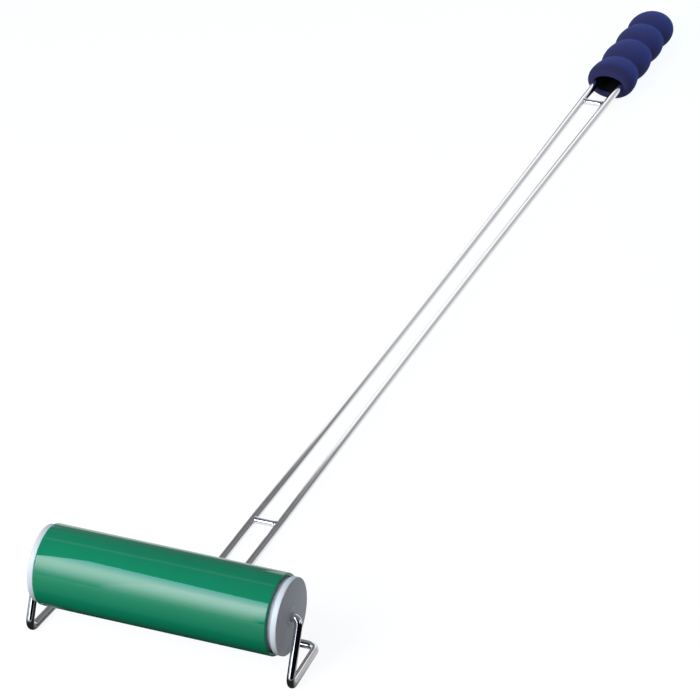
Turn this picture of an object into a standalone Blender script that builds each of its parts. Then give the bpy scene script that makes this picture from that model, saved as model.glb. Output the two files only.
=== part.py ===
"""Long-handled sticky lint roller with a chromed wire frame, in metres, +Z up.

The roller lies along X and the handle runs back along +Y. The part stands on the floor at Z = 0,
on its wire feet and on the underside of its grip. The origin is the middle of its footprint.
"""

from math import asin, cos, pi, sin, tan

import bmesh
import bpy
from mathutils import Matrix, Vector

# Roller
SLEEVE_DIAMETER = 0.050
SLEEVE_WALL = 0.0025
SLEEVE_LENGTH = 0.1495
BARE_LEFT_END = 0.0002
BARE_RIGHT_END = 0.0022
CORE_WALL = 0.002
FLANGE_SETBACK = 0.0014
FLANGE_THICKNESS = 0.0036
FLANGE_EDGE = 0.0004
SPIGOT_DEPTH = 0.010
SPIGOT_WALL = 0.002
HUB_WALL = 0.0032
HUB_DEPTH = 0.012
BOSS_HEIGHT = 0.0005
ROLLER_OFFSET = 0.0005

# Wire frame
WIRE_DIAMETER = 0.005
FLOOR_CLEARANCE = 0.0169
STUB_DEPTH = 0.0125
LEG_GAP = 0.0015
FOOT_REACH = 0.0167
REAR_REACH = 0.0311
RAIL_TOE_IN = 0.0025
HANDLE_SPACING = 0.0178
HANDLE_BOW = 0.0015
FOOT_BEND = 0.005
REAR_BEND = 0.006
HANDLE_BEND = 0.008
LOWER_BAR_AT = 0.1135
UPPER_BAR_AT = 0.7122
BAR_DIAMETER = 0.004

# Foam grip
GRIP_GAP = 0.030
MOUTH_LENGTH = 0.0092
SWELLINGS = 4
SWELLING_LENGTH = 0.0326
SWELLING_STEP = 0.0028
FOAM_WALL = 0.0021
SWELLING_HEIGHT = 0.00255
CREST_STEP = 0.00026
GRIP_OVAL = 1.295
DOME_LENGTH = 0.0207
BORE_HEIGHT = 0.013
BORE_SETBACK = 0.005
MOUTH_OVERCUT = 0.0003

# Clearances: between pieces that seat on each other, and round the stub that the roller turns on
SEAT_GAP = 0.0003
RUNNING_GAP = 0.0003

# Smoothness of the round pieces
TURNED_STEPS = 40
WIRE_RESOLUTION = 4
BEND_STEPS = 6
BOW_STEPS = 8
SWELLING_POINTS = 4
DOME_POINTS = 6

# Sizes worked out from the above
WIRE_RADIUS = WIRE_DIAMETER / 2
SLEEVE_RADIUS = SLEEVE_DIAMETER / 2
CORE_RADIUS = SLEEVE_RADIUS - SLEEVE_WALL - SEAT_GAP
CORE_LENGTH = SLEEVE_LENGTH + BARE_LEFT_END + BARE_RIGHT_END
FLANGE_RADIUS = SLEEVE_RADIUS - FLANGE_SETBACK
SPIGOT_RADIUS = CORE_RADIUS - CORE_WALL - SEAT_GAP
BORE_RADIUS = WIRE_RADIUS + RUNNING_GAP
HUB_RADIUS = BORE_RADIUS + HUB_WALL
FLANGE_SEAT = CORE_LENGTH / 2 + SEAT_GAP
BOSS_FACE = FLANGE_SEAT + FLANGE_THICKNESS + BOSS_HEIGHT
LEG_X = BOSS_FACE + LEG_GAP + WIRE_RADIUS
STUB_BEND = LEG_GAP + WIRE_RADIUS
REAR_X = LEG_X - RAIL_TOE_IN
HANDLE_X = HANDLE_SPACING / 2

GRIP_AT = UPPER_BAR_AT + GRIP_GAP
BORE_HALF_WIDTH = HANDLE_X + WIRE_RADIUS + SEAT_GAP
MOUTH_FLAT = BORE_HEIGHT / 2 - MOUTH_OVERCUT
GRIP_GROOVE = BORE_HALF_WIDTH / GRIP_OVAL + FOAM_WALL
LAST_SWELLING = SWELLING_LENGTH - SWELLING_STEP * (SWELLINGS - 1)
FIRST_TO_LAST_CREST = (SWELLINGS - 1) * (SWELLING_LENGTH + LAST_SWELLING) / 2
DOME_AT = MOUTH_LENGTH + FIRST_TO_LAST_CREST
GRIP_LENGTH = DOME_AT + DOME_LENGTH
GRIP_BORE_DEPTH = DOME_AT - BORE_SETBACK
WIRE_IN_GRIP = GRIP_BORE_DEPTH - SEAT_GAP

# The handle rises from the rear bar just enough for the first swelling to rest on the floor.
FIRST_CREST = GRIP_GROOVE + SWELLING_HEIGHT
HANDLE_RISE = asin((FIRST_CREST - WIRE_RADIUS) / (GRIP_AT + MOUTH_LENGTH))
OVERALL_LENGTH = SLEEVE_RADIUS + REAR_REACH + (GRIP_AT + GRIP_LENGTH) * cos(HANDLE_RISE)
AXLE_Y = SLEEVE_RADIUS - OVERALL_LENGTH / 2
AXLE_Z = SLEEVE_RADIUS + FLOOR_CLEARANCE
REAR_Y = AXLE_Y + REAR_REACH


for old in list(bpy.data.objects):
    bpy.data.objects.remove(old)

parts = bpy.data.collections.new("lint_roller")
cutters = bpy.data.collections.new("cutters")
for group in (parts, cutters):
    bpy.context.scene.collection.children.link(group)


def plain_material(name, colour, roughness, metallic=0.0):
    material = bpy.data.materials.new(name)
    material.use_nodes = True
    shader = material.node_tree.nodes["Principled BSDF"]
    shader.inputs["Base Color"].default_value = (*colour, 1.0)
    shader.inputs["Roughness"].default_value = roughness
    shader.inputs["Metallic"].default_value = metallic
    return material


def add_object(name, data, group, parent=None):
    thing = bpy.data.objects.new(name, data)
    thing.parent = parent
    group.objects.link(thing)
    return thing


def turned(name, profile, closed, material, parent):
    """Turn a profile of (radius, height) points about the object's Z axis."""
    mesh = bpy.data.meshes.new(name)
    edges = [(i, i + 1) for i in range(len(profile) - 1)]
    if closed:
        edges.append((len(profile) - 1, 0))
    mesh.from_pydata([(radius, 0, height) for radius, height in profile], edges, [])
    mesh.materials.append(material)
    thing = add_object(name, mesh, parts, parent)
    screw = thing.modifiers.new("turn", "SCREW")
    screw.steps = TURNED_STEPS
    screw.render_steps = TURNED_STEPS
    screw.use_merge_vertices = True
    screw.merge_threshold = 1e-6
    screw.use_smooth_shade = True
    return thing


def tube_profile(outer, inner, length):
    top = length / 2
    return [(inner, top), (outer, top), (outer, -top), (inner, -top)]


def rod_mesh(name, radius, length, along):
    """Make a round rod, centred on its origin, along the X or the Y axis."""
    mesh = bpy.data.meshes.new(name)
    rod = bmesh.new()
    bmesh.ops.create_cone(
        rod, cap_ends=True, segments=TURNED_STEPS // 2, radius1=radius, radius2=radius, depth=length
    )
    turn = {"X": Matrix.Rotation(pi / 2, 3, "Y"), "Y": Matrix.Rotation(pi / 2, 3, "X")}[along]
    bmesh.ops.rotate(rod, verts=rod.verts, matrix=turn)
    rod.to_mesh(mesh)
    rod.free()
    mesh.shade_smooth()
    mesh.set_sharp_from_angle(angle=pi / 6)
    return mesh


def rounded_path(corners, radii):
    """Join the corners by straight runs, and turn each inner corner into an arc of its radius."""
    points = [corners[0]]
    for before, corner, after, radius in zip(corners, corners[1:], corners[2:], radii):
        back = (before - corner).normalized()
        ahead = (after - corner).normalized()
        opening = back.angle(ahead)
        centre = corner + (back + ahead).normalized() * radius / sin(opening / 2)
        spoke = corner + back * radius / tan(opening / 2) - centre
        axis = ahead.cross(back)
        for step in range(BEND_STEPS + 1):
            turn = Matrix.Rotation((pi - opening) * step / BEND_STEPS, 3, axis)
            points.append(centre + turn @ spoke)
    points.append(corners[-1])
    return points


def bent_wire(name, points, material):
    curve = bpy.data.curves.new(name, "CURVE")
    curve.dimensions = "3D"
    curve.bevel_depth = WIRE_RADIUS
    curve.bevel_resolution = WIRE_RESOLUTION
    curve.use_fill_caps = True
    curve.materials.append(material)
    spline = curve.splines.new("POLY")
    spline.points.add(len(points) - 1)
    for target, point in zip(spline.points, points):
        target.co = (*point, 1)
    spline.use_smooth = True
    return add_object(name, curve, parts)


# The roller's pieces turn about the axle, whose own Z axis points along +X.
# They have some play between the legs and sit nearer to the left one.
axle = add_object("axle", None, parts)
axle.location = (-ROLLER_OFFSET, AXLE_Y, AXLE_Z)
axle.rotation_euler = (0, pi / 2, 0)

# The handle's frame starts at the rear bar, with its Y axis along the wires.
handle = add_object("handle", None, parts)
handle.location = (0, REAR_Y, WIRE_RADIUS)
handle.rotation_euler = (HANDLE_RISE, 0, 0)


# Sticky sleeve: a soft tube pushed over the core, nearer to the core's left end.
sleeve_green = plain_material("sticky_green_elastomer", (0.009, 0.24, 0.105), 0.18)
sleeve_profile = tube_profile(SLEEVE_RADIUS, SLEEVE_RADIUS - SLEEVE_WALL, SLEEVE_LENGTH)
sleeve = turned("adhesive_sleeve", sleeve_profile, True, sleeve_green, axle)
sleeve.location.z = (BARE_LEFT_END - BARE_RIGHT_END) / 2

# Core tube: carries the sleeve and shows at its ends.
core_grey = plain_material("grey_plastic_tube", (0.35, 0.35, 0.38), 0.4)
core_profile = tube_profile(CORE_RADIUS, CORE_RADIUS - CORE_WALL, CORE_LENGTH)
turned("core_tube", core_profile, True, core_grey, axle)


# End caps: a flange against the tube's end, a spigot inside the tube and a hub for the wire.
cap_grey = plain_material("grey_moulded_plastic", (0.5, 0.5, 0.54), 0.35)


def end_cap(name, side):
    spigot_bore = SPIGOT_RADIUS - SPIGOT_WALL
    boss_top = FLANGE_THICKNESS + BOSS_HEIGHT
    profile = [
        (BORE_RADIUS, boss_top),
        (HUB_RADIUS, boss_top),
        (HUB_RADIUS, FLANGE_THICKNESS),
        (FLANGE_RADIUS - FLANGE_EDGE, FLANGE_THICKNESS),
        (FLANGE_RADIUS, FLANGE_THICKNESS - FLANGE_EDGE),
        (FLANGE_RADIUS, 0),
        (SPIGOT_RADIUS, 0),
        (SPIGOT_RADIUS, -SPIGOT_DEPTH),
        (spigot_bore, -SPIGOT_DEPTH),
        (spigot_bore, 0),
        (HUB_RADIUS, 0),
        (HUB_RADIUS, -HUB_DEPTH),
        (BORE_RADIUS, -HUB_DEPTH),
    ]
    cap = turned(name, profile, True, cap_grey, axle)
    cap.location.z = side * FLANGE_SEAT
    if side < 0:
        cap.rotation_euler.x = pi


end_cap("right_end_cap", 1)
end_cap("left_end_cap", -1)


# Side wires: stub in the cap, leg, foot, rail, half of the rear bar, then the length of the handle.
# Between the two cross bars the handle wires bow a little towards each other.
chrome = plain_material("chromed_steel_wire", (0.8, 0.8, 0.82), 0.1, 1.0)


def side_wire(name, side):
    along = Vector((0, cos(HANDLE_RISE), sin(HANDLE_RISE)))
    bar_end = Vector((side * HANDLE_X, REAR_Y, WIRE_RADIUS))
    corners = [
        Vector((side * (BOSS_FACE - STUB_DEPTH), AXLE_Y, AXLE_Z)),
        Vector((side * LEG_X, AXLE_Y, AXLE_Z)),
        Vector((side * LEG_X, AXLE_Y - FOOT_REACH, WIRE_RADIUS)),
        Vector((side * REAR_X, REAR_Y, WIRE_RADIUS)),
        bar_end,
        bar_end + along * LOWER_BAR_AT,
    ]
    points = rounded_path(corners, (STUB_BEND, FOOT_BEND, REAR_BEND, HANDLE_BEND))
    for step in range(1, BOW_STEPS + 1):
        share = step / BOW_STEPS
        inward = Vector((-side * 4 * HANDLE_BOW * share * (1 - share), 0, 0))
        distance = LOWER_BAR_AT + (UPPER_BAR_AT - LOWER_BAR_AT) * share
        points.append(bar_end + along * distance + inward)
    points.append(bar_end + along * (GRIP_AT + WIRE_IN_GRIP))
    bent_wire(name, points, chrome)


side_wire("right_wire", 1)
side_wire("left_wire", -1)


def rod_cutter(name, radius, start, end):
    """Make a round rod along the handle, from start to end, that only cuts other pieces."""
    cutter = add_object(name, rod_mesh(name, radius, end - start, "Y"), cutters, handle)
    cutter.location.y = (start + end) / 2
    cutter.hide_render = True
    cutter.display_type = "WIRE"
    return cutter


def cut_away(thing, cutter):
    cut = thing.modifiers.new(cutter.name, "BOOLEAN")
    cut.operation = "DIFFERENCE"
    cut.object = cutter


# Cross bars: short rods between the handle wires, with ends hollowed to fit the wires' sides.
saddles = []
for saddle_name, side in (("right_saddle", 1), ("left_saddle", -1)):
    saddle = rod_cutter(saddle_name, WIRE_RADIUS + SEAT_GAP, 0, GRIP_AT)
    saddle.location.x = side * HANDLE_X
    saddles.append(saddle)


def cross_bar(name, distance):
    bar_mesh = rod_mesh(name, BAR_DIAMETER / 2, HANDLE_SPACING, "X")
    bar_mesh.materials.append(chrome)
    bar = add_object(name, bar_mesh, parts, handle)
    bar.location.y = distance
    for cutter in saddles:
        cut_away(bar, cutter)


cross_bar("lower_cross_bar", LOWER_BAR_AT)
cross_bar("upper_cross_bar", UPPER_BAR_AT)


# Foam grip: swellings that get shorter and lower towards its closed round end, over a blind bore.
# Its mouth is rounded from the bore's edge out to the first crest.
# The two wires stretch it to an oval, so it is turned round and then widened. Its bore is flatter.
foam = plain_material("navy_foam", (0.03, 0.032, 0.12), 0.9)


def grip_profile():
    """Run from the tip of the dome down the swellings to the middle of the mouth."""
    outside = [(0, 0)]
    for step in range(SWELLING_POINTS):
        angle = pi / 2 * step / SWELLING_POINTS
        radius = MOUTH_FLAT + (FIRST_CREST - MOUTH_FLAT) * sin(angle)
        outside.append((radius, MOUTH_LENGTH * (1 - cos(angle))))
    start = MOUTH_LENGTH - SWELLING_LENGTH / 2
    for number in range(SWELLINGS):
        half = (SWELLING_LENGTH - SWELLING_STEP * number) / 2
        height = SWELLING_HEIGHT - CREST_STEP * number
        first_step = SWELLING_POINTS if number == 0 else 0
        last_step = SWELLING_POINTS if number == SWELLINGS - 1 else 2 * SWELLING_POINTS
        for step in range(first_step, last_step):
            along = step / SWELLING_POINTS - 1
            outside.append((GRIP_GROOVE + height * (1 - along**2), start + half * (1 + along)))
        start += 2 * half
    crest = GRIP_GROOVE + height
    for step in range(DOME_POINTS):
        angle = pi / 2 * step / DOME_POINTS
        outside.append((crest * cos(angle), DOME_AT + DOME_LENGTH * sin(angle)))
    outside.append((0, GRIP_LENGTH))
    return outside[::-1]


grip = turned("grip", grip_profile(), False, foam, handle)
grip.location.y = GRIP_AT
grip.rotation_euler.x = -pi / 2
grip.scale.x = GRIP_OVAL
bore = rod_cutter("grip_bore", BORE_HEIGHT / 2, GRIP_AT - GRIP_GAP, GRIP_AT + GRIP_BORE_DEPTH)
bore.scale.x = BORE_HALF_WIDTH / (BORE_HEIGHT / 2)
cut_away(grip, bore)
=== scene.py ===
"""Looks of the long-handled sticky lint roller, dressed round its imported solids.

Metres, +Z up: the roller lies along X, the handle runs back along +Y, and the floor is at Z = 0.
"""

from math import cos, pi, radians, sin, tan

import bmesh
import bpy
from mathutils import Matrix, Vector


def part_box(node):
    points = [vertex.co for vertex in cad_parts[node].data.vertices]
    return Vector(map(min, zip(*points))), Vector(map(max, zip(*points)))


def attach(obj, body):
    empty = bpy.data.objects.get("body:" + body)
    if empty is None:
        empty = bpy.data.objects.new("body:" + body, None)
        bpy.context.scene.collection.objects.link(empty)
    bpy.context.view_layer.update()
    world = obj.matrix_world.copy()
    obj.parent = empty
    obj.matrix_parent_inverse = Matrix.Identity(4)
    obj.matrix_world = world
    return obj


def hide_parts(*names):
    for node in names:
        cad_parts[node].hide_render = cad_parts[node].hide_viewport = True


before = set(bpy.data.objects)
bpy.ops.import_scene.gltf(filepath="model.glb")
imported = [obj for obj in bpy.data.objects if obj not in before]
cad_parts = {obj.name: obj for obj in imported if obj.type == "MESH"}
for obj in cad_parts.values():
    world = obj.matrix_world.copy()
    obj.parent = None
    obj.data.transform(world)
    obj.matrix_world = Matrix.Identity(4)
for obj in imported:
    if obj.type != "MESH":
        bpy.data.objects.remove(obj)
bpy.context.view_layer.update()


# Sticky sleeve
# A tube of soft, tacky polyurethane, cast in a polished mould and pushed over the core.
# Lint sticks to it and is rinsed off, so its skin is smooth and looks wet.

mm = 0.001
sleeve_low, sleeve_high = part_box("adhesive_sleeve")
axle = Vector((0, (sleeve_low.y + sleeve_high.y) / 2, (sleeve_low.z + sleeve_high.z) / 2))
sleeve_radius = 25.0 * mm
sleeve_wall = 2.5 * mm
sleeve_edge = 0.7 * mm
sleeve_bore_edge = 0.2 * mm
sleeve_steps = 144
merge_distance = 1e-7
same_place = 1e-6


def linear(colour):
    """Turn an sRGB hex colour into linear red, green, blue and alpha."""
    parts = [int(colour[at : at + 2], 16) / 255 for at in (1, 3, 5)]
    return (*[p / 12.92 if p <= 0.04045 else ((p + 0.055) / 1.055) ** 2.4 for p in parts], 1.0)


def plug_in(tree, node, links):
    """Link sockets of other nodes into this one."""
    for name, source in links.items():
        tree.links.new(source, node.inputs[name])


def add_node(tree, kind, settings, links=None):
    """Add a node, set its properties and sockets, and link sockets of other nodes into it."""
    node = tree.nodes.new(kind)
    for name, value in settings.items():
        if isinstance(name, str) and hasattr(node, name):
            setattr(node, name, value)
        else:
            node.inputs[name].default_value = value
    plug_in(tree, node, links or {})
    return node


def new_finish(name):
    """Start a material, and return it with its node tree, its shader and its coordinates."""
    material = bpy.data.materials.new(name)
    material.use_nodes = True
    tree = material.node_tree
    place = add_node(tree, "ShaderNodeTexCoord", {})
    return material, tree, tree.nodes["Principled BSDF"], place.outputs["Object"]


def turned(profile, steps, centre=axle, closed=True):
    """Spin a profile of points (along X, radius) about a line along X through the centre."""
    shape = bmesh.new()
    line = [shape.verts.new(centre + Vector((along, 0, radius))) for along, radius in profile]
    onward = line[1:] + line[:1] if closed else line[1:]
    for first, second in zip(line, onward):
        shape.edges.new((first, second))
    whole = shape.verts[:] + shape.edges[:]
    bmesh.ops.spin(
        shape, geom=whole, cent=centre, axis=(1, 0, 0), angle=2 * pi, steps=steps, use_merge=True
    )
    bmesh.ops.remove_doubles(shape, verts=shape.verts, dist=merge_distance)
    bmesh.ops.recalc_face_normals(shape, faces=shape.faces)
    return shape


def round_rim(shape, along, radius, width, segments):
    """Round off the circular edge at this place along the axle."""

    def on_rim(vert):
        offset = vert.co - axle
        off_radius = abs(Vector(offset.yz).length - radius)
        return abs(offset.x - along) < same_place and off_radius < same_place

    rim = [edge for edge in shape.edges if all(on_rim(vert) for vert in edge.verts)]
    bmesh.ops.bevel(
        shape, geom=rim, offset=width, offset_type="OFFSET", affect="EDGES",
        segments=segments, profile=0.5, material=-1, clamp_overlap=True,
    )


def piece(name, shape, material, sharp=radians(35)):
    """Make the finished shape an object at the origin, shaded smooth but for its sharp edges."""
    mesh = bpy.data.meshes.new(name)
    shape.to_mesh(mesh)
    shape.free()
    mesh.materials.append(material)
    mesh.shade_smooth()
    mesh.set_sharp_from_angle(angle=sharp)
    thing = bpy.data.objects.new(name, mesh)
    bpy.context.scene.collection.objects.link(thing)
    return thing


# Cast polyurethane: an even, clear green with a wet gloss. The soft wall is never quite true,
# so long waves run along it, and reflections waver a little from one end to the other.
wave_length = 312.5 * mm
wave_width = 10.4167 * mm
cloud_size = 22.222 * mm
sleeve_green, tree, skin, place = new_finish("cast_polyurethane_green")
skin.inputs["IOR"].default_value = 1.5
long_waves = add_node(
    tree, "ShaderNodeMapping", {"Scale": (1 / wave_length, 1 / wave_width, 1 / wave_width)},
    {"Vector": place},
)
waves = add_node(
    tree, "ShaderNodeTexNoise", {"Scale": 1.0, "Detail": 2.0},
    {"Vector": long_waves.outputs["Vector"]},
)
clouds = add_node(
    tree, "ShaderNodeTexNoise", {"Scale": 1 / cloud_size, "Detail": 3.0}, {"Vector": place}
)
green = add_node(
    tree, "ShaderNodeMix", {"data_type": "RGBA", 6: linear("#0A8259"), 7: linear("#0E8961")},
    {0: clouds.outputs["Fac"]},
)
gloss = add_node(
    tree, "ShaderNodeMapRange", {"To Min": 0.035, "To Max": 0.06}, {"Value": clouds.outputs["Fac"]}
)
bump = add_node(
    tree, "ShaderNodeBump", {"Strength": 0.12, "Distance": 0.2 * mm},
    {"Height": waves.outputs["Fac"]},
)
plug_in(tree, skin, {
    "Base Color": green.outputs[2], "Roughness": gloss.outputs["Result"],
    "Normal": bump.outputs["Normal"],
})

left, right = sleeve_low.x, sleeve_high.x
bore = sleeve_radius - sleeve_wall
sleeve_shape = turned(
    [(left, bore), (left, sleeve_radius), (right, sleeve_radius), (right, bore)], sleeve_steps
)
for end in (left, right):
    round_rim(sleeve_shape, end, sleeve_radius, sleeve_edge, segments=4)
    round_rim(sleeve_shape, end, bore, sleeve_bore_edge, segments=2)
sleeve = piece("sticky_sleeve", sleeve_shape, sleeve_green)
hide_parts("adhesive_sleeve")
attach(sleeve, "roller")


# Core tube
# An extruded grey plastic tube that keeps the soft sleeve round.
# A couple of millimetres of it show between the sleeve and the right end cap.

core_low, core_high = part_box("core_tube")
core_radius = 22.2 * mm
core_wall = 2.0 * mm
core_edge = 0.15 * mm
core_steps = 128

# Extruded rigid PVC: mid grey, satin, with faint draw lines along the tube.
draw_line_length = 33.333 * mm
draw_line_spacing = 1.1111 * mm
core_grey, tree, skin, place = new_finish("extruded_pvc_grey")
skin.inputs["IOR"].default_value = 1.53
drawn = add_node(
    tree, "ShaderNodeMapping",
    {"Scale": (1 / draw_line_length, 1 / draw_line_spacing, 1 / draw_line_spacing)},
    {"Vector": place},
)
lines = add_node(
    tree, "ShaderNodeTexNoise", {"Scale": 1.0, "Detail": 3.0}, {"Vector": drawn.outputs["Vector"]}
)
grey = add_node(
    tree, "ShaderNodeMix", {"data_type": "RGBA", 6: linear("#B8B8BE"), 7: linear("#C4C4CA")},
    {0: lines.outputs["Fac"]},
)
gloss = add_node(
    tree, "ShaderNodeMapRange", {"To Min": 0.32, "To Max": 0.46}, {"Value": lines.outputs["Fac"]}
)
bump = add_node(
    tree, "ShaderNodeBump", {"Strength": 0.15, "Distance": 0.05 * mm},
    {"Height": lines.outputs["Fac"]},
)
plug_in(tree, skin, {
    "Base Color": grey.outputs[2], "Roughness": gloss.outputs["Result"],
    "Normal": bump.outputs["Normal"],
})

left, right = core_low.x, core_high.x
bore = core_radius - core_wall
core_shape = turned(
    [(left, bore), (left, core_radius), (right, core_radius), (right, bore)], core_steps
)
for end in (left, right):
    round_rim(core_shape, end, core_radius, core_edge, segments=2)
core = piece("core_tube_skin", core_shape, core_grey)
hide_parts("core_tube")
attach(core, "roller")


# End caps
# Two moulded grey plastic caps, each pushed into the core by its spigot until its flange seats.
# A low boss round the bore is the bearing that the wire's stub turns in.

flange_radius = 23.6 * mm
flange_thickness = 3.6 * mm
flange_edge = 0.5 * mm
seat_edge = 0.2 * mm
boss_radius = 6.0 * mm
boss_height = 0.5 * mm
boss_edge = 0.3 * mm
bore_radius = 2.8 * mm
spigot_radius = 19.9 * mm
spigot_bore = 17.9 * mm
spigot_depth = 10.0 * mm
hub_depth = 12.0 * mm
cap_steps = 128

# Moulded ABS: light grey, satin, with the fine grain of a spark-eroded mould.
# The grain is really about 0.1 mm and is drawn at 0.6 mm so that it shows.
cap_grey, tree, skin, place = new_finish("moulded_abs_grey")
skin.inputs["IOR"].default_value = 1.53
grain = add_node(
    tree, "ShaderNodeTexNoise", {"Scale": 1 / (0.6 * mm), "Detail": 2.0}, {"Vector": place}
)
flow = add_node(
    tree, "ShaderNodeTexNoise", {"Scale": 1 / (22 * mm), "Detail": 2.0}, {"Vector": place}
)
grey = add_node(
    tree, "ShaderNodeMix", {"data_type": "RGBA", 6: linear("#E0E0E2"), 7: linear("#E8E8EA")},
    {0: flow.outputs["Fac"]},
)
gloss = add_node(
    tree, "ShaderNodeMapRange", {"To Min": 0.42, "To Max": 0.54}, {"Value": grain.outputs["Fac"]}
)
bump = add_node(
    tree, "ShaderNodeBump", {"Strength": 0.12, "Distance": 0.03 * mm},
    {"Height": grain.outputs["Fac"]},
)
plug_in(tree, skin, {
    "Base Color": grey.outputs[2], "Roughness": gloss.outputs["Result"],
    "Normal": bump.outputs["Normal"],
})

for side, node in ((1, "right_end_cap"), (-1, "left_end_cap")):
    cap_low, cap_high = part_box(node)
    boss_face = cap_high.x if side > 0 else cap_low.x
    face = boss_face - side * boss_height
    seat = face - side * flange_thickness
    spigot_end = seat - side * spigot_depth
    hub_end = seat - side * hub_depth
    cap_shape = turned(
        [
            (boss_face, bore_radius), (boss_face, boss_radius),
            (face, boss_radius), (face, flange_radius),
            (seat, flange_radius), (seat, spigot_radius),
            (spigot_end, spigot_radius), (spigot_end, spigot_bore),
            (seat, spigot_bore), (seat, boss_radius),
            (hub_end, boss_radius), (hub_end, bore_radius),
        ],
        cap_steps,
    )
    round_rim(cap_shape, face, flange_radius, flange_edge, segments=4)
    round_rim(cap_shape, seat, flange_radius, seat_edge, segments=2)
    round_rim(cap_shape, boss_face, boss_radius, boss_edge, segments=3)
    round_rim(cap_shape, boss_face, bore_radius, boss_edge, segments=3)
    cap = piece(node + "_skin", cap_shape, cap_grey)
    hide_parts(node)
    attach(cap, "roller")


# Side wires
# Two lengths of 5 mm steel wire, bent to a stub, a leg, a foot, a rail and half of the rear bar,
# and then run back as the handle, bowing a little inwards. They are chromed after welding.

wire_radius = 2.5 * mm
leg_x = 84.35 * mm
rear_x = 81.85 * mm
handle_x = 8.9 * mm
handle_bow = 1.5 * mm
stub_x = 67.85 * mm
foot_y = axle.y - 16.7 * mm
rear_y = axle.y + 31.1 * mm
handle_rise = 0.0148858  # radians
handle_length = 831.3 * mm
lower_bar_at = 113.5 * mm
upper_bar_at = 712.2 * mm
stub_bend = 4.0 * mm
foot_bend = 5.0 * mm
rear_bend = 6.0 * mm
handle_bend = 8.0 * mm
wire_sides = 32
bend_steps = 14
bow_steps = 32

# Bright chromium plate over drawn steel: a neutral mirror, a little bluish.
# The plate is slightly uneven, so its reflections are a little softer in places.
chrome, tree, skin, place = new_finish("bright_chromium_plate")
skin.inputs["Metallic"].default_value = 1.0
plating = add_node(
    tree, "ShaderNodeTexNoise", {"Scale": 1 / (9 * mm), "Detail": 3.0}, {"Vector": place}
)
tint = add_node(
    tree, "ShaderNodeMix", {"data_type": "RGBA", 6: linear("#DDDEE2"), 7: linear("#E8E8EB")},
    {0: plating.outputs["Fac"]},
)
gloss = add_node(
    tree, "ShaderNodeMapRange", {"To Min": 0.05, "To Max": 0.12}, {"Value": plating.outputs["Fac"]}
)
plug_in(tree, skin, {"Base Color": tint.outputs[2], "Roughness": gloss.outputs["Result"]})


def drawn_out(shape, loop, step):
    """Draw the open end of a wire straight on by this step, and return its new open end."""
    grown = bmesh.ops.extrude_edge_only(shape, edges=loop)["geom"]
    verts = [part for part in grown if isinstance(part, bmesh.types.BMVert)]
    bmesh.ops.translate(shape, verts=verts, vec=step)
    edges = [part for part in grown if isinstance(part, bmesh.types.BMEdge)]
    return [edge for edge in edges if set(edge.verts) <= set(verts)]


def bent_wire(corners, radii, onward):
    """Feed a wire along the corners, bend it at each one between, and draw it on from there."""
    shape = bmesh.new()
    facing = (corners[1] - corners[0]).to_track_quat("Z", "Y").to_matrix().to_4x4()
    bmesh.ops.create_circle(
        shape, cap_ends=True, segments=wire_sides, radius=wire_radius,
        matrix=Matrix.Translation(corners[0]) @ facing,
    )
    loop = shape.edges[:]
    at = corners[0]
    for before, corner, after, bend in zip(corners, corners[1:], corners[2:], radii):
        back = (before - corner).normalized()
        ahead = (after - corner).normalized()
        opening = back.angle(ahead)
        run_out = corner + back * bend / tan(opening / 2)
        loop = drawn_out(shape, loop, run_out - at)
        made = bmesh.ops.spin(
            shape, geom=loop, cent=corner + (back + ahead).normalized() * bend / sin(opening / 2),
            axis=ahead.cross(back).normalized(), angle=pi - opening, steps=bend_steps,
        )
        loop = [part for part in made["geom_last"] if isinstance(part, bmesh.types.BMEdge)]
        at = corner + ahead * bend / tan(opening / 2)
    for point in corners[-1:] + onward:
        loop = drawn_out(shape, loop, point - at)
        at = point
    bmesh.ops.contextual_create(shape, geom=loop)
    bmesh.ops.recalc_face_normals(shape, faces=shape.faces)
    return shape


along_handle = Vector((0, cos(handle_rise), sin(handle_rise)))
for side, node in ((1, "right_wire"), (-1, "left_wire")):
    handle_foot = Vector((side * handle_x, rear_y, wire_radius))
    corners = [
        Vector((side * stub_x, axle.y, axle.z)),
        Vector((side * leg_x, axle.y, axle.z)),
        Vector((side * leg_x, foot_y, wire_radius)),
        Vector((side * rear_x, rear_y, wire_radius)),
        handle_foot,
        handle_foot + along_handle * lower_bar_at,
    ]
    onward = []
    for step in range(1, bow_steps + 1):
        share = step / bow_steps
        inward = Vector((-side * 4 * handle_bow * share * (1 - share), 0, 0))
        distance = lower_bar_at + (upper_bar_at - lower_bar_at) * share
        onward.append(handle_foot + along_handle * distance + inward)
    onward.append(handle_foot + along_handle * handle_length)
    bends = (stub_bend, foot_bend, rear_bend, handle_bend)
    wire = piece(node + "_skin", bent_wire(corners, bends, onward), chrome)
    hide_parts(node)
    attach(wire, "frame")


# Cross bars
# Two short 4 mm rods welded between the handle wires, one near the roller and one near the grip.
# Each end spreads into a small weld before the frame is chromed.

bar_radius = 2.0 * mm
bar_short = 0.7 * mm
bar_steps = 32
weld_radius = 2.45 * mm
weld_length = 1.5 * mm
weld_depth = 1.4 * mm
weld_taper = 0.97
fillet_length = 0.7 * mm
fillet_swell = 1.07

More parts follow.
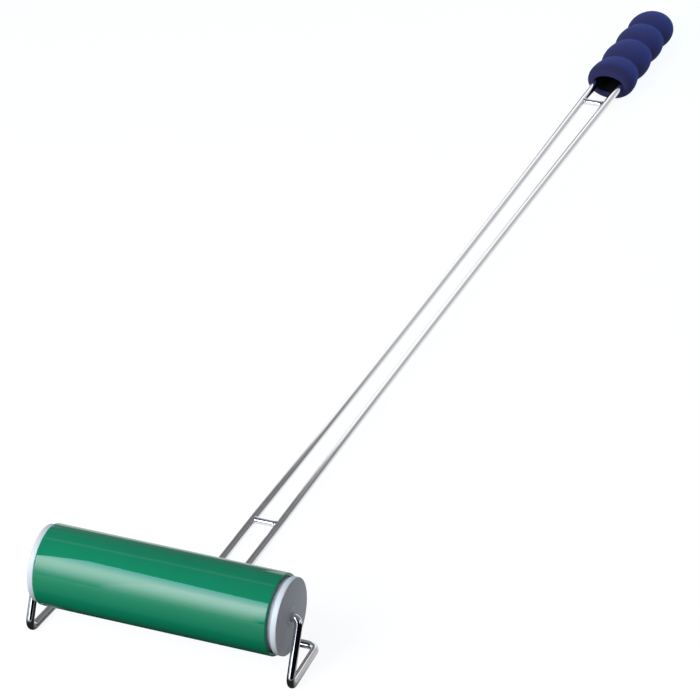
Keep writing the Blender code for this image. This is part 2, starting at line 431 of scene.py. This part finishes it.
# Each bar stops a little short of the wires' centre lines, inside the wires.
bar_neck = handle_x - wire_radius - weld_length
bar_end = handle_x - bar_short
half_bar = [
    (bar_neck, bar_radius),
    (bar_neck + fillet_length, bar_radius * fillet_swell),
    (bar_end - weld_depth, weld_radius * weld_taper),
    (bar_end, weld_radius),
    (bar_end, 0),
]
bar_profile = [(-along, radius) for along, radius in half_bar[::-1]] + half_bar
for node in ("lower_cross_bar", "upper_cross_bar"):
    bar_low, bar_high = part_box(node)
    middle = (bar_low + bar_high) / 2
    bar_shape = turned(bar_profile, bar_steps, centre=middle, closed=False)
    bar = piece(node + "_skin", bar_shape, chrome)
    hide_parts(node)
    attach(bar, "frame")


# Foam grip
# A moulded foam-rubber sleeve with four finger swellings, closed and round at its far end.
# It is pushed over the two wires, which stretch it wider than it is high.

grip_at = 742.2 * mm
mouth_length = 9.2 * mm
swellings = 4
swelling_length = 32.6 * mm
swelling_step = 2.8 * mm
groove_radius = 11.135 * mm
swelling_height = 2.55 * mm
crest_step = 0.26 * mm
dome_length = 20.7 * mm
bore_height = 12.8 * mm
bore_width = 22.6 * mm
bore_depth = 89.3 * mm
bore_straight_from = 6.0 * mm
lip_radius = 1.2 * mm
oval = 1.295
lip_turns = (30, 60)
mouth_steps = 14
swelling_steps = 12
dome_steps = 12
grip_steps = 96

# Closed-cell foam rubber: matt navy, with a soft bloom of light on faces that turn away.
# Its cells are a few tenths of a millimetre and are drawn at 0.9 mm so that they show.
foam, tree, skin, place = new_finish("moulded_foam_rubber_navy")
skin.inputs["IOR"].default_value = 1.4
skin.inputs["Sheen Weight"].default_value = 0.2
skin.inputs["Sheen Roughness"].default_value = 0.5
skin.inputs["Sheen Tint"].default_value = linear("#4060C0")
cells = add_node(tree, "ShaderNodeTexVoronoi", {"Scale": 1 / (0.9 * mm)}, {"Vector": place})
mottle = add_node(
    tree, "ShaderNodeTexNoise", {"Scale": 1 / (6 * mm), "Detail": 4.0}, {"Vector": place}
)
navy = add_node(
    tree, "ShaderNodeMix", {"data_type": "RGBA", 6: linear("#312F5C"), 7: linear("#383666")},
    {0: mottle.outputs["Fac"]},
)
gloss = add_node(
    tree, "ShaderNodeMapRange", {"To Min": 0.78, "To Max": 0.95}, {"Value": mottle.outputs["Fac"]}
)
bump = add_node(
    tree, "ShaderNodeBump", {"Strength": 0.35, "Distance": 0.15 * mm},
    {"Height": cells.outputs["Distance"]},
)
plug_in(tree, skin, {
    "Base Color": navy.outputs[2], "Roughness": gloss.outputs["Result"],
    "Normal": bump.outputs["Normal"],
})

# The bore's faces get a dull, near-black foam. This is painted shade for the dark inside of the
# bore, not the foam's own colour.
bore_painted_shade, tree, skin, place = new_finish("painted_bore_shade_foam")
skin.inputs["IOR"].default_value = 1.4
streaks = add_node(
    tree, "ShaderNodeTexNoise", {"Scale": 1 / (4 * mm), "Detail": 3.0}, {"Vector": place}
)
painted_shade_black = add_node(
    tree, "ShaderNodeMix", {"data_type": "RGBA", 6: linear("#0A0A10"), 7: linear("#14141E")},
    {0: streaks.outputs["Fac"]},
)
gloss = add_node(
    tree, "ShaderNodeMapRange", {"To Min": 0.75, "To Max": 0.95}, {"Value": streaks.outputs["Fac"]}
)
plug_in(tree, skin, {"Base Color": painted_shade_black.outputs[2], "Roughness": gloss.outputs["Result"]})

# The outline, as (radius, along), runs from the bore's end out over the lip to the dome's tip.
grip_bore = bore_width / 2 / oval
lip_edge = grip_bore + lip_radius
first_crest = groove_radius + swelling_height
outline = [
    (0, bore_depth), (grip_bore, bore_depth),
    (grip_bore, bore_straight_from), (grip_bore, lip_radius),
]
for turn in map(radians, lip_turns):
    outline.append((grip_bore + lip_radius * (1 - cos(turn)), lip_radius * (1 - sin(turn))))
for step in range(mouth_steps):
    turn = pi / 2 * step / mouth_steps
    radius = lip_edge + (first_crest - lip_edge) * sin(turn)
    outline.append((radius, mouth_length * (1 - cos(turn))))
begin = mouth_length - swelling_length / 2
for number in range(swellings):
    half = (swelling_length - swelling_step * number) / 2
    height = swelling_height - crest_step * number
    first_step = swelling_steps if number == 0 else 0
    last_step = swelling_steps if number == swellings - 1 else 2 * swelling_steps
    for step in range(first_step, last_step):
        along = step / swelling_steps - 1
        outline.append((groove_radius + height * (1 - along**2), begin + half * (1 + along)))
    begin += 2 * half
dome_at = begin - half
for step in range(dome_steps):
    turn = pi / 2 * step / dome_steps
    outline.append(((groove_radius + height) * cos(turn), dome_at + dome_length * sin(turn)))
outline.append((0, dome_at + dome_length))

grip_shape = bmesh.new()
line = [grip_shape.verts.new((radius, 0, along)) for radius, along in outline]
for first, second in zip(line, line[1:]):
    grip_shape.edges.new((first, second))
whole = grip_shape.verts[:] + grip_shape.edges[:]
bmesh.ops.spin(
    grip_shape, geom=whole, cent=(0, 0, 0), axis=(0, 0, 1), angle=2 * pi, steps=grip_steps,
    use_merge=True,
)
bmesh.ops.remove_doubles(grip_shape, verts=grip_shape.verts, dist=merge_distance)
in_bore = {
    vert for vert in grip_shape.verts
    if vert.co.xy.length < grip_bore + same_place and vert.co.z < bore_depth + same_place
}
# Faces in the bore take the second material, which carries the painted shade.
for face in grip_shape.faces:
    face.material_index = int(in_bore.issuperset(face.verts))

# The bore is flatter than the grip, and the mouth eases from one to the other.
flatness = bore_height / 2 / grip_bore
for vert in grip_shape.verts:
    if vert in in_bore:
        vert.co.y *= flatness
    elif vert.co.z < mouth_length:
        outward = (vert.co.xy.length - grip_bore) / (first_crest - grip_bore)
        vert.co.y *= flatness + (1 - flatness) * outward
bmesh.ops.scale(grip_shape, verts=grip_shape.verts, vec=(oval, 1, 1))
on_handle = (
    Matrix.Translation((0, rear_y, wire_radius))
    @ Matrix.Rotation(handle_rise, 4, "X")
    @ Matrix.Translation((0, grip_at, 0))
    @ Matrix.Rotation(-pi / 2, 4, "X")
)
bmesh.ops.transform(grip_shape, matrix=on_handle, verts=grip_shape.verts)
bmesh.ops.recalc_face_normals(grip_shape, faces=grip_shape.faces)
grip = piece("foam_grip", grip_shape, foam, sharp=radians(60))
# The second material is the painted shade for the bore's faces.
grip.data.materials.append(bore_painted_shade)
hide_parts("grip")
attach(grip, "frame")


# Floor
# A white paper sweep, white in the picture, that keeps a soft shadow under the roller and handle.
# In reflections and bounced light it has painted shade: dark before the feet and under the roller,
# and lighter away from them.

floor_reach = 6.0
floor_drop = 0.05 * mm
# The painted shade for reflections and bounced light starts a little before the feet.
painted_shade_line = foot_y - 3 * mm
painted_shade_fade = (8 * mm, 170 * mm)
fade_beside = 0.3
fade_in_front = 0.28
fade_behind = -1.2
shade_sides = (71 * mm, 81 * mm)
shade_back = (-70 * mm, -130 * mm)
shade_front = (0.0, 30 * mm)

floor_shape = bmesh.new()
bmesh.ops.create_grid(floor_shape, x_segments=1, y_segments=1, size=floor_reach)
bmesh.ops.translate(floor_shape, verts=floor_shape.verts, vec=(0, 0, -floor_drop))

paper = bpy.data.materials.new("white_paper_sweep")
paper.use_nodes = True
tree = paper.node_tree
tree.nodes.clear()
rays = add_node(tree, "ShaderNodeLightPath", {})
place = add_node(tree, "ShaderNodeTexCoord", {}).outputs["Object"]
spot = add_node(tree, "ShaderNodeSeparateXYZ", {}, {0: place})
sideways = add_node(tree, "ShaderNodeMath", {"operation": "ABSOLUTE"}, {0: spot.outputs["X"]})
before = add_node(
    tree, "ShaderNodeMath", {"operation": "SUBTRACT", 0: painted_shade_line}, {1: spot.outputs["Y"]}
)

# How far a spot is out of the painted shade before the feet: it fades slowly in front and to the
# sides, and fast behind.
past_legs = add_node(
    tree, "ShaderNodeMath", {"operation": "SUBTRACT", 1: leg_x}, {0: sideways.outputs[0]}
)
beyond = add_node(
    tree, "ShaderNodeMath", {"operation": "MAXIMUM", 1: 0.0}, {0: past_legs.outputs[0]}
)
beside = add_node(
    tree, "ShaderNodeMath", {"operation": "MULTIPLY", 1: fade_beside}, {0: beyond.outputs[0]}
)
in_front = add_node(
    tree, "ShaderNodeMath", {"operation": "MULTIPLY", 1: fade_in_front}, {0: before.outputs[0]}
)
behind = add_node(
    tree, "ShaderNodeMath", {"operation": "MULTIPLY", 1: fade_behind}, {0: before.outputs[0]}
)
either_way = add_node(
    tree, "ShaderNodeMath", {"operation": "MAXIMUM"}, {0: in_front.outputs[0], 1: behind.outputs[0]}
)
off_painted_shade = add_node(
    tree, "ShaderNodeCombineXYZ", {}, {"X": beside.outputs[0], "Y": either_way.outputs[0]}
)
away = add_node(tree, "ShaderNodeVectorMath", {"operation": "LENGTH"}, {0: off_painted_shade.outputs[0]})
painted_shade_fading = add_node(
    tree, "ShaderNodeMapRange", {"From Min": painted_shade_fade[0], "From Max": painted_shade_fade[1]},
    {"Value": away.outputs["Value"]},
)
clear_of_painted_shade = add_node(
    tree, "ShaderNodeMath", {"operation": "POWER", 1: 0.5}, {0: painted_shade_fading.outputs["Result"]}
)

# How far a spot is out of the roller's shade: past its ends, behind it, or before the feet.
past_roller = add_node(
    tree, "ShaderNodeMapRange", {"From Min": shade_sides[0], "From Max": shade_sides[1]},
    {"Value": sideways.outputs[0]},
)
far_behind = add_node(
    tree, "ShaderNodeMapRange", {"From Min": shade_back[0], "From Max": shade_back[1]},
    {"Value": before.outputs[0]},
)
well_before = add_node(
    tree, "ShaderNodeMapRange", {"From Min": shade_front[0], "From Max": shade_front[1]},
    {"Value": before.outputs[0]},
)
off_roller = add_node(
    tree, "ShaderNodeMath", {"operation": "MAXIMUM"},
    {0: past_roller.outputs["Result"], 1: far_behind.outputs["Result"]},
)
unshaded = add_node(
    tree, "ShaderNodeMath", {"operation": "MAXIMUM"},
    {0: off_roller.outputs[0], 1: well_before.outputs["Result"]},
)
# The paper's level out of the painted shade: 1 in the open, low before the feet and under the
# roller.
paper_out_of_painted_shade = add_node(
    tree, "ShaderNodeMath", {"operation": "MULTIPLY"},
    {0: clear_of_painted_shade.outputs[0], 1: unshaded.outputs[0]},
)

# Bounced light sees grey paper and reflections see it white, both darkened by the painted shade,
# and the camera sees white with a real shadow.
bounce_paper_painted_shade = add_node(
    tree, "ShaderNodeMix", {"data_type": "RGBA", 6: linear("#383838"), 7: linear("#989898")},
    {0: paper_out_of_painted_shade.outputs[0]},
)
dim = add_node(tree, "ShaderNodeBsdfDiffuse", {}, {"Color": bounce_paper_painted_shade.outputs[2]})
mirrored = add_node(
    tree, "ShaderNodeMapRange", {"To Min": 0.02, "To Max": 1.0}, {"Value": paper_out_of_painted_shade.outputs[0]}
)
bright = add_node(
    tree, "ShaderNodeEmission", {"Color": linear("#FFFFFF")},
    {"Strength": mirrored.outputs["Result"]},
)
reflected = add_node(
    tree, "ShaderNodeMixShader", {},
    {0: rays.outputs["Is Glossy Ray"], 1: dim.outputs[0], 2: bright.outputs[0]},
)
shade = add_node(tree, "ShaderNodeBsdfDiffuse", {"Color": linear("#7C7C7C")})
glow = add_node(tree, "ShaderNodeEmission", {"Color": linear("#FFFFFF"), "Strength": 0.90})
seen = add_node(tree, "ShaderNodeAddShader", {}, {0: shade.outputs[0], 1: glow.outputs[0]})
either = add_node(
    tree, "ShaderNodeMixShader", {},
    {0: rays.outputs["Is Camera Ray"], 1: reflected.outputs[0], 2: seen.outputs[0]},
)
add_node(tree, "ShaderNodeOutputMaterial", {}, {"Surface": either.outputs[0]})
floor = piece("paper_sweep", floor_shape, paper)


# Studio light
# A tall softbox in front to the left lights the roller, a cool one behind lights the grip's ridges,
# and a weak one fills the cap. The white wall and the cards round it give the chrome its lines.

world = bpy.data.worlds.new("white_room")
world.use_nodes = True
bpy.context.scene.world = world
tree = world.node_tree
tree.nodes.clear()
rays = add_node(tree, "ShaderNodeLightPath", {})
seen = add_node(
    tree, "ShaderNodeMath", {"operation": "MAXIMUM"},
    {0: rays.outputs["Is Camera Ray"], 1: rays.outputs["Is Glossy Ray"]},
)
seen_all = add_node(
    tree, "ShaderNodeMath", {"operation": "MAXIMUM"},
    {0: seen.outputs[0], 1: rays.outputs["Is Transmission Ray"]},
)
fill = add_node(tree, "ShaderNodeBackground", {"Color": linear("#FFFFFF"), "Strength": 0.22})
white = add_node(tree, "ShaderNodeBackground", {"Color": linear("#FFFFFF"), "Strength": 1.0})
room = add_node(
    tree, "ShaderNodeMixShader", {},
    {0: seen_all.outputs[0], 1: fill.outputs[0], 2: white.outputs[0]},
)
add_node(tree, "ShaderNodeOutputWorld", {}, {"Surface": room.outputs[0]})


def softbox(name, place, target, size, watts, colour):
    """Hang a lamp of this width and height, turned to its target and hidden from the camera."""
    lamp = bpy.data.lights.new(name, "AREA")
    lamp.shape = "RECTANGLE"
    lamp.size, lamp.size_y = size
    lamp.energy = watts
    lamp.color = linear(colour)[:3]
    stand = bpy.data.objects.new(name, lamp)
    stand.location = place
    stand.rotation_mode = "QUATERNION"
    stand.rotation_quaternion = (Vector(target) - Vector(place)).to_track_quat("-Z", "Y")
    stand.visible_camera = False
    bpy.context.scene.collection.objects.link(stand)
    return stand


# The tall softbox is brightest a little over its middle, bluish above and dim towards the floor.
brightest_at = 0.63
tall = softbox(
    "tall_softbox", (-0.59, -1.70, 0.79), axle, size=(1.1, 1.68), watts=46.0, colour="#F0F6FF"
)
tall.data.use_nodes = True
tree = tall.data.node_tree
cloth = add_node(tree, "ShaderNodeNewGeometry", {})
height_on_cloth = add_node(tree, "ShaderNodeSeparateXYZ", {}, {0: cloth.outputs["Parametric"]})
fade = add_node(tree, "ShaderNodeValToRGB", {}, {0: height_on_cloth.outputs["Y"]})
fade.color_ramp.interpolation = "EASE"
fade.color_ramp.elements[0].color = linear("#565E64")
fade.color_ramp.elements[1].color = linear("#A2CEDE")
fade.color_ramp.elements.new(brightest_at).color = linear("#FFFFFF")
plug_in(tree, tree.nodes["Emission"], {"Color": fade.outputs["Color"]})

by_grip = softbox(
    "grip_softbox", (0.30, 1.50, 0.55), (0, 0.40, 0.02), size=(0.5, 0.5), watts=1.0,
    colour="#60B4FF",
)
by_grip.data.spread = radians(30)
by_grip.visible_glossy = False
by_cap = softbox(
    "cap_softbox", (2.0, -0.75, 0.75), axle, size=(1.0, 1.0), watts=0.9, colour="#D8DCFF"
)
by_cap.visible_glossy = False


def card(name, corners, grey):
    """Hang a flat card that only reflections see, and return its node tree and its shader."""
    shape = bmesh.new()
    bmesh.ops.contextual_create(shape, geom=[shape.verts.new(corner) for corner in corners])
    board = bpy.data.materials.new(name + "_board")
    board.use_nodes = True
    nodes = board.node_tree
    nodes.nodes.clear()
    dull = add_node(nodes, "ShaderNodeEmission", {"Color": linear(grey), "Strength": 1.0})
    add_node(nodes, "ShaderNodeOutputMaterial", {}, {"Surface": dull.outputs[0]})
    thing = piece(name, shape, board)
    thing.visible_camera = False
    thing.visible_diffuse = False
    thing.visible_shadow = False
    return nodes, dull


def upright(start, end, bottom, top):
    """Corners of a card that stands on a line of the floor plan."""
    return [(*start, bottom), (*end, bottom), (*end, top), (*start, top)]


def level(start, end, height):
    """Corners of a card that lies over a rectangle of the floor plan."""
    beside_start, beside_end = (end[0], start[1]), (start[0], end[1])
    return [(*corner, height) for corner in (start, beside_start, end, beside_end)]


# The back wall is white on the left and grey on the right, and dark far from its foot's middle.
# The handle's wires reflect its right side as a thin line, greyer towards the roller.
wall_white = 1.3
grey_side = (-0.7, 1.35)
greyer_ring = (2.54, 2.82)
dark_ring = (2.78, 2.92)
grey_depth = 0.72
dark_depth = 1.06

wall, wall_glow = card("back_wall", upright((-4.5, 3.2), (4.5, 3.2), 0.0, 3.4), "#FFFFFF")
place = add_node(wall, "ShaderNodeTexCoord", {}).outputs["Object"]
spot = add_node(wall, "ShaderNodeSeparateXYZ", {}, {0: place})
flat = add_node(wall, "ShaderNodeCombineXYZ", {}, {"X": spot.outputs["X"], "Y": spot.outputs["Z"]})
out = add_node(wall, "ShaderNodeVectorMath", {"operation": "LENGTH"}, {0: flat.outputs[0]})
to_right = add_node(
    wall, "ShaderNodeMapRange",
    {"interpolation_type": "SMOOTHSTEP", "From Min": grey_side[0], "From Max": grey_side[1]},
    {"Value": spot.outputs["X"]},
)
greyer = add_node(
    wall, "ShaderNodeMapRange",
    {
        "interpolation_type": "SMOOTHSTEP", "From Min": greyer_ring[0], "From Max": greyer_ring[1],
        "To Min": grey_depth, "To Max": dark_depth,
    },
    {"Value": out.outputs["Value"]},
)
right_side = add_node(
    wall, "ShaderNodeMath", {"operation": "MULTIPLY"},
    {0: to_right.outputs["Result"], 1: greyer.outputs["Result"]},
)
far_out = add_node(
    wall, "ShaderNodeMapRange",
    {
        "interpolation_type": "SMOOTHSTEP", "From Min": dark_ring[0], "From Max": dark_ring[1],
        "To Max": dark_depth,
    },
    {"Value": out.outputs["Value"]},
)
darker = add_node(
    wall, "ShaderNodeMath", {"operation": "MAXIMUM"},
    {0: right_side.outputs[0], 1: far_out.outputs["Result"]},
)
lit = add_node(
    wall, "ShaderNodeMath", {"operation": "SUBTRACT", 0: wall_white}, {1: darker.outputs[0]}
)
plug_in(wall, wall_glow, {"Strength": lit.outputs[0]})

# Grey cards dull the sleeve's top, and black ones give the legs and feet their dark cores.
card("dark_board", upright((-2.0, 3.15), (-1.0, 3.15), 0.0, 1.25), "#84848A")
card("dark_flag", upright((-0.42, 0.08), (-0.02, 0.08), 0.225, 0.6), "#74747A")
card("ceiling", level((-4.5, 3.2), (4.5, -4.0), 3.3), "#6A6A70")
card("ceiling_strip", level((-4.5, 0.9), (4.5, 0.5), 3.2), "#BCBCC0")
card("front_flag", upright((-0.5, -3.6), (4.0, -3.0), 0.0, 2.8), "#0C0C0E")
card("left_flag", upright((-4.0, -3.0), (-1.6, -3.6), 0.0, 2.8), "#3C3C40")
card("dark_cloth", level((0.125, -3.0), (4.0, -0.25), mm), "#0C0C0E")
card("right_flag", upright((4.0, -3.0), (4.0, 0.6), 0.0, 1.6), "#141416")


# Camera
# Where the photograph was taken from: in front, to the right and above, with a long lens.
# Its place is given from the roller's axle.

lens = bpy.data.cameras.new("camera")
lens.lens = 231.43
lens.sensor_width = 36.0
lens.clip_end = 50.0
camera = bpy.data.objects.new("camera", lens)
camera.location = axle + Vector((0.96070, -2.00965, 1.43927))
camera.rotation_euler = (radians(60.1202), radians(0.5523), radians(22.4284))
bpy.context.scene.collection.objects.link(camera)
bpy.context.scene.camera = camera
bpy.context.scene.view_settings.view_transform = "Standard"
